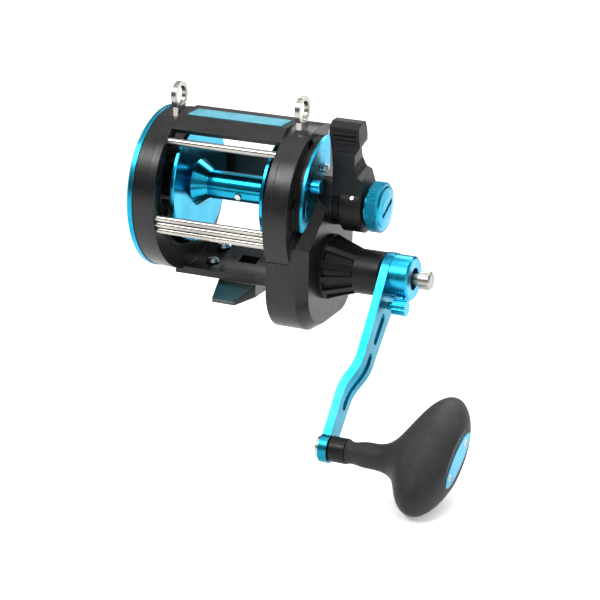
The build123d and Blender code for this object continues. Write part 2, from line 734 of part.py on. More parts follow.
# ribbed sleeve around the main shaft
rib_count = 12
with BuildPart() as handle_sleeve:
    add(turned([(housing_front_x, 7.52), (housing_front_x, 14.6), (housing_front_x + 1.8, 14.6),
                (housing_front_x + 2.4, 12.6), (58.6, 9.2), (59.6, 10.0), (sleeve_end_x - 0.8, 10.0),
                (sleeve_end_x, 9.2), (sleeve_end_x, 7.02), (64.6, 7.02), (64.6, 5.4),
                (59.0, 5.4), (59.0, 7.52)], main_y, main_z))
    for rib in range(rib_count):
        spin = math.radians(360.0 * rib / rib_count + 8.0)
        out_dir = (0, math.cos(spin), math.sin(spin))
        side = (0, math.sin(spin), -math.cos(spin))
        with BuildSketch(Plane(origin=(0, main_y, main_z), x_dir=(1, 0, 0), z_dir=side)):
            with BuildLine():
                Polyline((housing_front_x + 1.6, 8.0), (housing_front_x + 1.6, 14.6), (59.8, 9.9),
                         (59.8, 8.0), close=True)
            make_face()
        extrude(amount=1.3, both=True)
handle_sleeve.part.label = "handle_sleeve"
export_step(handle_sleeve.part, "parts/handle_sleeve.step")

with BuildPart() as one_way_clutch:
    add(tube(46.0, 58.0, 7.5, 4.05, main_y, main_z))
one_way_clutch.part.label = "one_way_clutch"
export_step(one_way_clutch.part, "parts/one_way_clutch.step")

with BuildPart() as main_bearing_outer:
    add(ball_bearing(64.8, 4.0, 7.0, 4.05, main_y, main_z))
main_bearing_outer.part.label = "main_bearing_outer"
export_step(main_bearing_outer.part, "parts/main_bearing_outer.step")

# ================================================================ lever group
lever_angle = 15.0
lever_radius = 41.5
hub_back_x = 50.4
hub_radius = 12.2
detent_dir = (0, -0.883, 0.469)
lever_width_x = lever_front_x - lever_back_x

with BuildPart() as drag_lever:
    # hub, hollow around the cam and the spring washers
    add(turned([(lever_back_x, 9.0), (lever_back_x, 10.2), (hub_back_x, 10.2),
                (hub_back_x, hub_radius - 0.7), (hub_back_x + 0.7, hub_radius),
                (lever_front_x - 0.8, hub_radius),
                (lever_front_x, hub_radius - 0.8), (lever_front_x, 3.06), (58.8, 3.06),
                (58.8, 9.0)], spool_y, spool_z))
    # arm swept up to the thumb pad
    with BuildSketch(across(lever_back_x, spool_y, spool_z, lever_angle)):
        with BuildLine():
            Polyline((-8.5, 8.0), (-5.2, 20.0), (-4.6, 29.0), (-5.4, 36.8), (-4.6, 40.3),
                     (-1.0, lever_radius), (3.4, lever_radius - 1.0), (4.4, 36.5), (4.0, 26.0),
                     (5.4, 18.0), (9.2, 7.0), close=True)
        make_face()
        Circle(9.1, mode=Mode.SUBTRACT)
    extrude(amount=lever_width_x)
    # shoulder taper of the outer side below the pad
    with BuildSketch(Plane(origin=(0, spool_y, spool_z), x_dir=(1, 0, 0),
                           z_dir=(0, -math.cos(math.radians(lever_angle)),
                                  -math.sin(math.radians(lever_angle))))):
        with BuildLine():
            Polyline((lever_front_x + 1, 15.0), (lever_front_x - 2.2, 17.0),
                     (lever_front_x - 3.4, 22.0), (lever_front_x - 3.0, 27.0),
                     (lever_front_x - 0.2, 31.0), (lever_front_x, 33.0),
                     (lever_front_x + 1, 33.0), close=True)
        make_face()
    extrude(amount=14.0, both=True, mode=Mode.SUBTRACT)
    # thumb grooves on the side that faces the angler
    for groove in range(6):
        reach = 28.0 + 2.15 * groove
        with BuildSketch(across(lever_back_x + 1.6, spool_y, spool_z, lever_angle)):
            with Locations((-5.6, reach)):
                Rectangle(2.2, 1.0)
        extrude(amount=lever_width_x - 3.2, mode=Mode.SUBTRACT)
    # hole of the detent screw in the hub
    with BuildSketch(Plane(origin=(56.5, spool_y, spool_z), x_dir=(1, 0, 0), z_dir=detent_dir)):
        Circle(0.92)
    extrude(amount=14.0, mode=Mode.SUBTRACT)
drag_lever.part.label = "drag_lever"
export_step(drag_lever.part, "parts/drag_lever.step")

with BuildPart() as detent_screw:
    with BuildSketch(Plane(origin=(56.5, spool_y + 9.3 * detent_dir[1], spool_z + 9.3 * detent_dir[2]),
                           x_dir=(1, 0, 0), z_dir=detent_dir)):
        Circle(0.9)
    extrude(amount=2.7)
detent_screw.part.label = "detent_screw"
export_step(detent_screw.part, "parts/detent_screw.step")

with BuildPart() as drag_cam:
    add(tube(lever_back_x + 0.2, 52.4, 8.98, 3.06, spool_y, spool_z))
    with BuildSketch(across(lever_back_x + 0.2, spool_y, spool_z)):
        with PolarLocations(6.0, 3):
            Rectangle(4.0, 2.4)
    extrude(amount=1.2, mode=Mode.SUBTRACT)
drag_cam.part.label = "drag_cam"
export_step(drag_cam.part, "parts/drag_cam.step")

with BuildPart() as spring_washers:
    for place in range(3):
        x = 53.0 + 1.8 * place
        add(turned([(x, 3.4), (x + 0.9, 8.6), (x + 1.7, 8.6), (x + 0.8, 3.4)], spool_y, spool_z))
spring_washers.part.label = "spring_washers"
export_step(spring_washers.part, "parts/spring_washers.step")

knob_radius = 11.3
knurl_count = 48

with BuildPart() as preset_knob:
    add(turned([(knob_back_x, 3.06), (knob_back_x, 9.4), (knob_back_x + 1.2, 9.4),
                (knob_back_x + 1.2, knob_radius - 0.4), (knob_back_x + 1.6, knob_radius),
                (knob_face_x - 1.8, knob_radius), (knob_face_x - 1.2, knob_radius - 0.6),
                (knob_face_x - 1.2, knob_radius - 1.6), (knob_face_x - 0.6, knob_radius - 2.4),
                (knob_face_x, 5.0), (knob_face_x, 0), (66.6, 0), (66.6, 3.06)],
               spool_y, spool_z))
    with BuildSketch(across(knob_back_x + 2.0, spool_y, spool_z)):
        with PolarLocations(knob_radius + 0.25, knurl_count):
            Rectangle(0.9, 0.9, rotation=45)
    extrude(amount=3.6, mode=Mode.SUBTRACT)
    with BuildSketch(across(knob_face_x + 0.5, spool_y, spool_z, -62.0)):
        Rectangle(2.0, 12.0)
    extrude(amount=-1.6, mode=Mode.SUBTRACT)
preset_knob.part.label = "preset_knob"
export_step(preset_knob.part, "parts/preset_knob.step")

# ================================================================ handle group
shift_travel = 3.6
key_x = 36.8
shaft_end_x = 80.2

with BuildPart() as main_shaft:
    add(turned([(26.7, 0), (26.7, 3.7), (27.0, main_shaft_radius), (shaft_end_x, main_shaft_radius),
                (shaft_end_x, 2.15), (29.0, 2.15), (29.0, 0)], main_y, main_z))
    with Locations((35.0, main_y, main_z)):
        Box(9.0, 9.0, 1.8, mode=Mode.SUBTRACT)
main_shaft.part.label = "main_shaft"
export_step(main_shaft.part, "parts/main_shaft.step")

toward_pinion = toward_main + 180.0


def drive_gear(x0, teeth):
    """Main gear with a lightened web and two key notches in its bore."""
    phase = toward_pinion + 180.0 / teeth
    with BuildPart() as gear:
        add(spur_gear(x0, gear_width, teeth, main_shaft_radius + 0.05, main_y, main_z, phase))
        with BuildSketch(across(x0, main_y, main_z)):
            with PolarLocations(0.62 * gear_module * teeth / 2, 6):
                Circle(0.15 * gear_module * teeth / 2)
            Rectangle(11.4, 2.2)
        extrude(amount=gear_width, mode=Mode.SUBTRACT)
    return gear.part


with BuildPart() as high_drive_gear:
    add(drive_gear(high_gear_x, high_main_teeth))
high_drive_gear.part.label = "high_drive_gear"
export_step(high_drive_gear.part, "parts/high_drive_gear.step")

with BuildPart() as low_drive_gear:
    add(drive_gear(low_gear_x, low_main_teeth))
low_drive_gear.part.label = "low_drive_gear"
export_step(low_drive_gear.part, "parts/low_drive_gear.step")

with BuildPart() as shift_rod:
    add(turned([(35.0, 0), (35.0, 1.7), (35.3, 2.05), (shaft_end_x + 2.2, 2.05),
                (shaft_end_x + 2.2, 2.6), (boss_front_x + 3.0, 2.6), (boss_front_x + 3.0, 4.1),
                (button_face_x - 0.7, 4.1), (button_face_x, 3.4), (button_face_x, 0)],
               main_y, main_z))
    with Locations((key_x, main_y, main_z)):
        Box(1.5, 10.6, 1.6)
shift_rod.part.label = "shift_rod"
export_step(shift_rod.part, "parts/shift_rod.step")

with BuildPart() as shift_spring:
    add(folded_spring(29.5, 5.2, 0.9, 1.9, 8, 0.35, main_y, main_z))
shift_spring.part.label = "shift_spring"
export_step(shift_spring.part, "parts/shift_spring.step")

latch_reach = 14.4

with BuildPart() as handle_boss:
    add(turned([(arm_front_x, main_shaft_radius + 0.02), (arm_front_x, 10.0),
                (boss_front_x - 0.9, 10.0), (boss_front_x, 9.1), (boss_front_x, 5.0),
                (shaft_end_x + 0.1, 5.0), (shaft_end_x + 0.1, main_shaft_radius + 0.02)],
               main_y, main_z))
    # slot of the release latch
    with BuildSketch(across(boss_front_x - 3.4, main_y, main_z, -arm_angle)):
        with Locations((0, -8.0)):
            Rectangle(2.8, 10.0)
    extrude(amount=1.4, mode=Mode.SUBTRACT)
    # cross hole of the grub screw
    with BuildSketch(Plane(origin=(78.0, main_y, main_z), x_dir=(1, 0, 0), z_dir=(0, -0.75, -0.66))):
        with Locations((0, 0)):
            Circle(1.2)
    extrude(amount=14.0, mode=Mode.SUBTRACT)
handle_boss.part.label = "handle_boss"
export_step(handle_boss.part, "parts/handle_boss.step")

with BuildPart() as grub_screw:
    with BuildSketch(Plane(origin=(78.0, main_y - 0.75 * 4.1, main_z - 0.66 * 4.1),
                           x_dir=(1, 0, 0), z_dir=(0, -0.75, -0.66))):
        Circle(1.18)
    extrude(amount=5.4)
grub_screw.part.label = "grub_screw"
export_step(grub_screw.part, "parts/grub_screw.step")

latch_back_x = arm_front_x + 3.4

with BuildPart() as release_latch:
    with BuildSketch(across(arm_front_x + 0.5, main_y, main_z, -arm_angle)):
        with Locations((0, -latch_reach)):
            Circle(1.7)
    extrude(amount=4.0)
    with BuildSketch(across(latch_back_x, main_y, main_z, -arm_angle)):
        with Locations((0, -latch_reach)):
            Circle(3.6)
            with PolarLocations(4.2, 10):
                Circle(0.9, mode=Mode.SUBTRACT)
    extrude(amount=6.2)
    with BuildSketch(across(boss_front_x - 3.2, main_y, main_z, -arm_angle)):
        with Locations((0, -(latch_reach + 3.0) / 2)):
            Rectangle(2.4, latch_reach - 3.0)
    extrude(amount=1.0)
release_latch.part.label = "release_latch"
export_step(release_latch.part, "parts/release_latch.step")

with BuildPart() as handle_arm:
    # side view with the soft inward step
    spin = math.radians(-arm_angle)
    with BuildSketch(Plane(origin=(0, main_y, main_z), x_dir=(1, 0, 0),
                           z_dir=(0, -math.cos(spin), -math.sin(spin)))):
        with BuildLine():
            back_bend = Spline((arm_back_x, -41.0), (arm_back_x - 0.52 * arm_step, -50.5),
                               (eye_back_x, -60.0), tangents=((0, -1), (0, -1)))
            front_bend = Spline((eye_front_x, -61.0), (arm_front_x - 0.5 * arm_step, -51.5),
                                (arm_front_x, -42.0), tangents=((0, 1), (0, 1)))
            Polyline(back_bend @ 1, (eye_back_x, -(arm_length + 10)),
                     (eye_front_x, -(arm_length + 10)), front_bend @ 0)
            Polyline(front_bend @ 1, (arm_front_x, 12.0), (arm_back_x, 12.0), back_bend @ 0)
        make_face()
    extrude(amount=16.0, both=True)
    # front view, tapering from the boss to the eye
    with BuildSketch(across(60.0, main_y, main_z, -arm_angle)):
        Circle(10.4)
        with BuildLine():
            Polyline((-10.4, 0.0), (-8.2, -22.0), (-6.2, -50.0), (-4.8, -arm_length),
                     (4.8, -arm_length), (6.2, -50.0), (8.2, -22.0), (10.4, 0.0), close=True)
        make_face()
        with Locations((0, -arm_length)):
            Circle(6.4)
    extrude(amount=20.0, mode=Mode.INTERSECT)
    # lightening slots, shaft and grip post holes
    with BuildSketch(across(60.0, main_y, main_z, -arm_angle)):
        Circle(main_shaft_radius + 0.02)
        with Locations((0.6, -26.0)):
            SlotOverall(15.0, 4.4, rotation=88)
        with Locations((0.2, -52.0)):
            SlotOverall(28.0, 4.2, rotation=89)
        with Locations((0, -arm_length)):
            Circle(3.02)
    extrude(amount=20.0, mode=Mode.SUBTRACT)
handle_arm.part.label = "handle_arm"
export_step(handle_arm.part, "parts/handle_arm.step")

# ---------------------------------------------------------------- grip
grip_start_x = eye_front_x + 8.0
grip_length = 47.0
grip_face_x = grip_start_x + grip_length
neck_radius = 5.4
head_half_length = 32.3
head_half_width = 15.0
head_offset = 6.2
badge_half_length = 15.4


def grip_section(reach):
    """Half length, half width and offset of the grip's oval section at a distance from its start."""
    flare = 1 / (1 + math.exp((26.0 - reach) / 2.6))
    widen = 1 / (1 + math.exp((23.0 - reach) / 3.2))
    dome = math.sqrt(1 - (max(reach - 35.0, 0.0) / 13.2) ** 2)
    long_part = (head_half_length - neck_radius) * flare * dome
    wide_part = (head_half_width - neck_radius) * widen * dome ** 1.3
    return neck_radius + long_part, neck_radius + wide_part, head_offset * flare


with BuildPart() as grip_body:
    for reach in (0.0, 7.0, 13.0, 18.0, 22.0, 25.5, 29.0, 33.0, 37.0, 41.0, 44.5, 46.3, grip_length):
        half_length, half_width, offset = grip_section(reach)
        with BuildSketch(across(grip_start_x + reach, eye_y, eye_z, grip_tilt)):
            with Locations((0, offset)):
                Ellipse(half_width, half_length)
    loft()
    # bore for the post, bearing pockets and the seat of the end badge
    with BuildSketch(across(grip_start_x, eye_y, eye_z)):
        Circle(3.3)
    extrude(amount=grip_length - 9.0, mode=Mode.SUBTRACT)
    with BuildSketch(across(grip_start_x, eye_y, eye_z)):
        Circle(4.6)
    extrude(amount=2.6, mode=Mode.SUBTRACT)
    with BuildSketch(across(grip_face_x - 1.2, eye_y, eye_z, grip_tilt)):
        with Locations((0, head_offset)):
            Ellipse(5.02, badge_half_length + 0.02)
    extrude(amount=2.0, mode=Mode.SUBTRACT)
    for offset in (-10.0, 10.0):
        with BuildSketch(across(grip_face_x - 5.0, eye_y, eye_z, grip_tilt)):
            with Locations((0, head_offset + offset)):
                Circle(0.72)
        extrude(amount=5.0, mode=Mode.SUBTRACT)
grip_body.part.label = "grip_body"
export_step(grip_body.part, "parts/grip_body.step")

with BuildPart() as grip_post:
    add(turned([(eye_back_x - 2.2, 0), (eye_back_x - 2.2, 4.2), (eye_back_x - 1.8, 4.6),
                (eye_back_x, 4.6), (eye_back_x, 3.0), (grip_face_x - 10.5, 3.0),
                (grip_face_x - 10.5, 0)], eye_y, eye_z))
    with BuildSketch(across(eye_back_x - 2.2, eye_y, eye_z)):
        RegularPolygon(2.0, 6)
    extrude(amount=1.2, mode=Mode.SUBTRACT)
grip_post.part.label = "grip_post"
export_step(grip_post.part, "parts/grip_post.step")

with BuildPart() as grip_collar:
    add(turned([(eye_front_x + 0.1, 3.02), (eye_front_x + 0.1, 5.1), (eye_front_x + 0.5, 5.5),
                (grip_start_x - 0.6, 5.5), (grip_start_x - 0.3, 5.2), (grip_start_x - 0.3, 3.02)],
               eye_y, eye_z))
grip_collar.part.label = "grip_collar"
export_step(grip_collar.part, "parts/grip_collar.step")

with BuildPart() as grip_bearing:
    add(ball_bearing(grip_start_x + 0.1, 2.4, 4.58, 3.04, eye_y, eye_z))
grip_bearing.part.label = "grip_bearing"
export_step(grip_bearing.part, "parts/grip_bearing.step")

with BuildPart() as grip_badge:
    with BuildSketch(across(grip_face_x - 1.15, eye_y, eye_z, grip_tilt)):
        with Locations((0, head_offset)):
            Ellipse(5.0, badge_half_length)
        for offset in (-10.0, 10.0):
            with Locations((0, head_offset + offset)):
                Circle(0.72, mode=Mode.SUBTRACT)
    extrude(amount=1.5)
    for offset in (-10.0, 10.0):
        with BuildSketch(across(grip_face_x + 0.35, eye_y, eye_z, grip_tilt)):
            with Locations((0, head_offset + offset)):
                Circle(1.62)
        extrude(amount=-0.6, mode=Mode.SUBTRACT)
grip_badge.part.label = "grip_badge"
export_step(grip_badge.part, "parts/grip_badge.step")

with BuildPart() as grip_screws:
    for offset in (-10.0, 10.0):
        with BuildSketch(across(grip_face_x - 0.23, eye_y, eye_z, grip_tilt)):
            with Locations((0, head_offset + offset)):
                Circle(1.58)
        extrude(amount=0.5)
        with BuildSketch(across(grip_face_x - 0.23, eye_y, eye_z, grip_tilt)):
            with Locations((0, head_offset + offset)):
                Circle(0.7)
        extrude(amount=-4.4)
        with BuildSketch(across(grip_face_x + 0.27, eye_y, eye_z, grip_tilt)):
            with Locations((0, head_offset + offset)):
                Rectangle(1.7, 0.4)
                Rectangle(0.4, 1.7)
        extrude(amount=-0.3, mode=Mode.SUBTRACT)
grip_screws.part.label = "grip_screws"
export_step(grip_screws.part, "parts/grip_screws.step")
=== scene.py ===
import math

import bpy
from mathutils import Matrix, Vector


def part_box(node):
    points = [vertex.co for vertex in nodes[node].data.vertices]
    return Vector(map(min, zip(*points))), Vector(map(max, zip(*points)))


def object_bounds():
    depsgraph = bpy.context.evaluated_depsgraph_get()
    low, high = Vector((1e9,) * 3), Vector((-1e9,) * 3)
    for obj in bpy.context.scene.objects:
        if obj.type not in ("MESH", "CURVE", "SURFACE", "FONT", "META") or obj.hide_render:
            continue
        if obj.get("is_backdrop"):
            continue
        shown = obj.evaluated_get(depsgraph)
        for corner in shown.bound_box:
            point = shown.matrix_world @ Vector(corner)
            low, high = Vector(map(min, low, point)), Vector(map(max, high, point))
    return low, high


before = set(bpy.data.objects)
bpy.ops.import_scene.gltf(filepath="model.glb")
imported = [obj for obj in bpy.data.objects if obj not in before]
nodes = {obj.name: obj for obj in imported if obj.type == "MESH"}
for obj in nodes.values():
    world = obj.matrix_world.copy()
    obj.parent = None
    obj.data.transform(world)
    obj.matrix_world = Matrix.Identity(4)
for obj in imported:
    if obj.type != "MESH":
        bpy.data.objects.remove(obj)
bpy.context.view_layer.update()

# sizes of surface detail: scales are cells per metre, reliefs are metres
lathe_scale = 420.0
grain_scale = 900.0
micro_scale = 2600.0
wear_scale = 420.0
knurl_ridges = 60.0
knurl_depth = 0.00025
knurl_rim = 0.0012
weave_scale = 620.0
stipple_scale = 2400.0

# camera: where it stands and how it is turned, with a long lens
camera_place = (0.40490, -0.87133, 0.32177)
camera_azimuth = 0.411361
camera_elevation = 0.329542
camera_roll = 0.019032
camera_lens = 132.0

# the floor is laid this far under the foot
floor_gap = 0.0002
floor_reach = 6.0


def middle(node):
    """Centre of a CAD node's box."""
    low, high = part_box(node)
    return (low + high) / 2


spool_axis = middle("spool")
ring_axis = middle("left_cap_ring")
knob_axis = middle("preset_knob")
main_axis = middle("handle_boss")
knob_radius = (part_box("preset_knob")[1][1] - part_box("preset_knob")[0][1]) / 2


# ---------------------------------------------------------------- materials
class Finish:
    """A procedural material under construction, with short calls for its nodes."""

    def __init__(self, name, colour, metallic, roughness):
        self.mat = bpy.data.materials.new(name)
        self.mat.use_nodes = True
        self.tree = self.mat.node_tree
        self.tree.nodes.clear()
        self.shader = self.add("ShaderNodeBsdfPrincipled")
        self.shader.inputs["Metallic"].default_value = metallic
        self.shader.inputs["Roughness"].default_value = roughness
        self.shader.inputs["Base Color"].default_value = (*colour, 1)
        self.link(self.shader.outputs[0], self.add("ShaderNodeOutputMaterial").inputs[0])
        self.place = self.add("ShaderNodeTexCoord").outputs["Object"]
        self.height = None
        self.mat.diffuse_color = (*colour, 1)

    def add(self, kind, **settings):
        node = self.tree.nodes.new(kind)
        for key, value in settings.items():
            setattr(node, key, value)
        return node

    def link(self, source, target):
        self.tree.links.new(source, target)

    def stretched(self, scale, shift=(0, 0, 0)):
        """Object coordinates moved and then scaled."""
        move = self.add("ShaderNodeVectorMath", operation="SUBTRACT")
        self.link(self.place, move.inputs[0])
        move.inputs[1].default_value = shift
        grow = self.add("ShaderNodeVectorMath", operation="MULTIPLY")
        self.link(move.outputs[0], grow.inputs[0])
        grow.inputs[1].default_value = scale
        return grow.outputs[0]

    def noise(self, scale, detail=4.0, rough=0.55, where=None):
        tex = self.add("ShaderNodeTexNoise")
        self.link(where or self.place, tex.inputs["Vector"])
        tex.inputs["Scale"].default_value = scale
        tex.inputs["Detail"].default_value = detail
        tex.inputs["Roughness"].default_value = rough
        return tex.outputs["Fac"]

    def remap(self, value, low, high, to_low, to_high):
        node = self.add("ShaderNodeMapRange")
        self.link(value, node.inputs["Value"])
        node.inputs["From Min"].default_value = low
        node.inputs["From Max"].default_value = high
        node.inputs["To Min"].default_value = to_low
        node.inputs["To Max"].default_value = to_high
        return node.outputs["Result"]

    def blend(self, factor, first, second):
        """Mix of two colours, each a tuple or a socket."""
        node = self.add("ShaderNodeMix", data_type="RGBA")
        self.link(factor, node.inputs["Factor"])
        for name, value in (("A", first), ("B", second)):
            socket = [s for s in node.inputs if s.name == name and s.type == "RGBA"][0]
            if isinstance(value, tuple):
                socket.default_value = (*value, 1)
            else:
                self.link(value, socket)
        return [s for s in node.outputs if s.type == "RGBA"][0]

    def relief(self, value, strength, distance):
        """One more layer of bump, stacked on those before it."""
        node = self.add("ShaderNodeBump")
        node.inputs["Strength"].default_value = strength
        node.inputs["Distance"].default_value = distance
        self.link(value, node.inputs["Height"])
        if self.height:
            self.link(self.height, node.inputs["Normal"])
        self.height = node.outputs["Normal"]

    def soften(self, radius):
        """Broken edges: the normal rolls over within this radius. Returns the edge mask."""
        node = self.add("ShaderNodeBevel", samples=4)
        node.inputs["Radius"].default_value = radius
        self.height = node.outputs["Normal"]
        dot = self.add("ShaderNodeVectorMath", operation="DOT_PRODUCT")
        self.link(node.outputs["Normal"], dot.inputs[0])
        self.link(self.add("ShaderNodeNewGeometry").outputs["Normal"], dot.inputs[1])
        return self.remap(dot.outputs["Value"], 0.98, 0.80, 0.0, 1.0)

    def done(self, colour=None, roughness=None):
        if colour:
            self.link(colour, self.shader.inputs["Base Color"])
        if roughness:
            self.link(roughness, self.shader.inputs["Roughness"])
        if self.height:
            self.link(self.height, self.shader.inputs["Normal"])
        return self.mat


def metal(name, colour, roughness, edge, wear, grain=(1, 1, 1), lathe=None, metallic=1.0):
    """Machined metal: broken edges a shade lighter, cloudy tone, fine directional grain."""
    f = Finish(name, colour, metallic, roughness)
    rim = f.soften(edge)
    cloud = f.noise(55.0, 3.0)
    dark = tuple(c * 0.82 for c in colour)
    light = tuple(min(c * 1.12 + 0.01, 1) for c in colour)
    tone = f.blend(f.remap(cloud, 0.35, 0.65, 0, 1), dark, light)
    patchy = f.add("ShaderNodeMath", operation="MULTIPLY")
    f.link(rim, patchy.inputs[0])
    f.link(f.remap(f.noise(wear_scale, 5.0, 0.7), 0.40, 0.62, 0.10, 0.45), patchy.inputs[1])
    tone = f.blend(patchy.outputs[0], tone, wear)
    streaks = f.noise(1.0, 3.0, 0.6, f.stretched(tuple(grain_scale * g for g in grain)))
    if lathe is not None:
        rings = f.add("ShaderNodeTexWave", wave_type="RINGS", rings_direction="X")
        f.link(f.stretched((1, 1, 1), lathe), rings.inputs["Vector"])
        rings.inputs["Scale"].default_value = lathe_scale
        rings.inputs["Distortion"].default_value = 1.2
        rings.inputs["Detail"].default_value = 2.0
        f.relief(rings.outputs["Fac"], 0.10, 0.00003)
        streaks = rings.outputs["Fac"]
    smudge = f.noise(150.0, 6.0, 0.65)
    f.relief(f.noise(micro_scale, 2.0), 0.05, 0.00001)
    f.relief(streaks, 0.04, 0.00001)
    both = f.add("ShaderNodeMath", operation="ADD")
    f.link(f.remap(smudge, 0.3, 0.7, roughness - 0.05, roughness + 0.07), both.inputs[0])
    f.link(f.remap(streaks, 0.0, 1.0, -0.02, 0.02), both.inputs[1])
    return f.done(tone, both.outputs[0])


def knurled(name, colour, wear, axis, rim_radius):
    """Turned knob with a diamond knurl around its rim."""
    f = Finish(name, colour, 1.0, 0.24)
    rim = f.soften(0.0002)
    split = f.add("ShaderNodeSeparateXYZ")
    f.link(f.stretched((1, 1, 1), axis), split.inputs[0])

    def math_node(operation, first, second):
        node = f.add("ShaderNodeMath", operation=operation)
        for socket, value in zip(node.inputs, (first, second)):
            if isinstance(value, float):
                socket.default_value = value
            else:
                f.link(value, socket)
        return node.outputs[0]

    around = math_node("ARCTAN2", split.outputs["Y"], split.outputs["Z"])
    along = math_node("MULTIPLY", split.outputs["X"], knurl_ridges / rim_radius)
    ridges = []
    for lean in (1.0, -1.0):
        phase = math_node("MULTIPLY", around, knurl_ridges * lean)
        ridges.append(math_node("SINE", math_node("ADD", phase, along), 0.0))
    diamonds = math_node("MAXIMUM", ridges[0], ridges[1])
    reach = f.add("ShaderNodeVectorMath", operation="LENGTH")
    flat = f.add("ShaderNodeCombineXYZ")
    f.link(split.outputs["Y"], flat.inputs[1])
    f.link(split.outputs["Z"], flat.inputs[2])
    f.link(flat.outputs[0], reach.inputs[0])
    outer = f.remap(reach.outputs["Value"], rim_radius - knurl_rim,
                    rim_radius - knurl_rim / 2, 0.0, 1.0)
    cut = math_node("MULTIPLY", diamonds, outer)
    f.relief(cut, 0.8, knurl_depth)
    f.relief(f.noise(1500.0, 3.0), 0.05, 0.00001)
    # painted shade: the knurl grooves are darkened to 0.55 of the colour, where shade would fall
    # in them
    shade = f.remap(cut, -0.2, 0.9, 0.0, 1.0)
    tone = f.blend(shade, tuple(c * 0.55 for c in colour), colour)
    face = f.blend(f.noise(60.0, 3.0), tuple(c * 0.85 for c in colour), colour)
    tone = f.blend(outer, face, tone)
    patchy = math_node("MULTIPLY", rim, 0.4)
    return f.done(f.blend(patchy, tone, wear), f.remap(f.noise(150.0, 5.0), 0.3, 0.7, 0.20, 0.30))


def satin_black(name, colour, roughness, edge, wear, pebble, depth, shine):
    """Black anodised, painted or moulded surface with a fine pebble and worn edges."""
    f = Finish(name, colour, 0.0, roughness)
    f.shader.inputs["Specular IOR Level"].default_value = shine
    rim = f.soften(edge)
    cloud = f.noise(70.0, 4.0)
    tone = f.blend(f.remap(cloud, 0.35, 0.65, 0, 1), tuple(c * 0.8 for c in colour),
                   tuple(c * 1.3 for c in colour))
    patchy = f.add("ShaderNodeMath", operation="MULTIPLY")
    f.link(rim, patchy.inputs[0])
    f.link(f.remap(f.noise(500.0, 5.0, 0.7), 0.42, 0.62, 0.10, 0.65), patchy.inputs[1])
    tone = f.blend(patchy.outputs[0], tone, wear)
    f.relief(f.noise(pebble, 3.0, 0.6), 0.35, depth)
    smudge = f.noise(120.0, 5.0, 0.6)
    return f.done(tone, f.remap(smudge, 0.3, 0.7, roughness - 0.05, roughness + 0.08))


def rubber():
    """Soft-touch grip: dull black with a fine stipple and faint handling marks."""
    f = Finish("grip_soft_touch", (0.016, 0.0165, 0.0175), 0.0, 0.62)
    f.shader.inputs["Sheen Weight"].default_value = 0.08
    f.shader.inputs["Sheen Roughness"].default_value = 0.4
    f.shader.inputs["Specular IOR Level"].default_value = 0.28
    tone = f.blend(f.remap(f.noise(60.0, 5.0), 0.35, 0.65, 0, 1),
                   (0.013, 0.0135, 0.0145), (0.020, 0.0205, 0.0215))
    cells = f.add("ShaderNodeTexVoronoi")
    f.link(f.place, cells.inputs["Vector"])
    cells.inputs["Scale"].default_value = stipple_scale
    f.relief(cells.outputs["Distance"], 0.30, 0.00004)
    f.relief(f.noise(300.0, 4.0), 0.10, 0.00010)
    return f.done(tone, f.remap(f.noise(180.0, 5.0, 0.6), 0.3, 0.7, 0.52, 0.70))


def carbon():
    """Woven carbon lining: a 1.6 mm twill of lighter and darker tows."""
    f = Finish("drag_carbon", (0.03, 0.03, 0.032), 0.0, 0.35)
    weave = f.add("ShaderNodeTexChecker")
    f.link(f.stretched((1, 1, 1)), weave.inputs["Vector"])
    weave.inputs["Scale"].default_value = weave_scale
    tone = f.blend(weave.outputs["Fac"], (0.018, 0.018, 0.020), (0.055, 0.055, 0.060))
    f.relief(weave.outputs["Fac"], 0.3, 0.00005)
    f.relief(f.noise(1800.0, 3.0), 0.2, 0.00003)
    return f.done(tone, f.remap(f.noise(400.0), 0.3, 0.7, 0.28, 0.45))


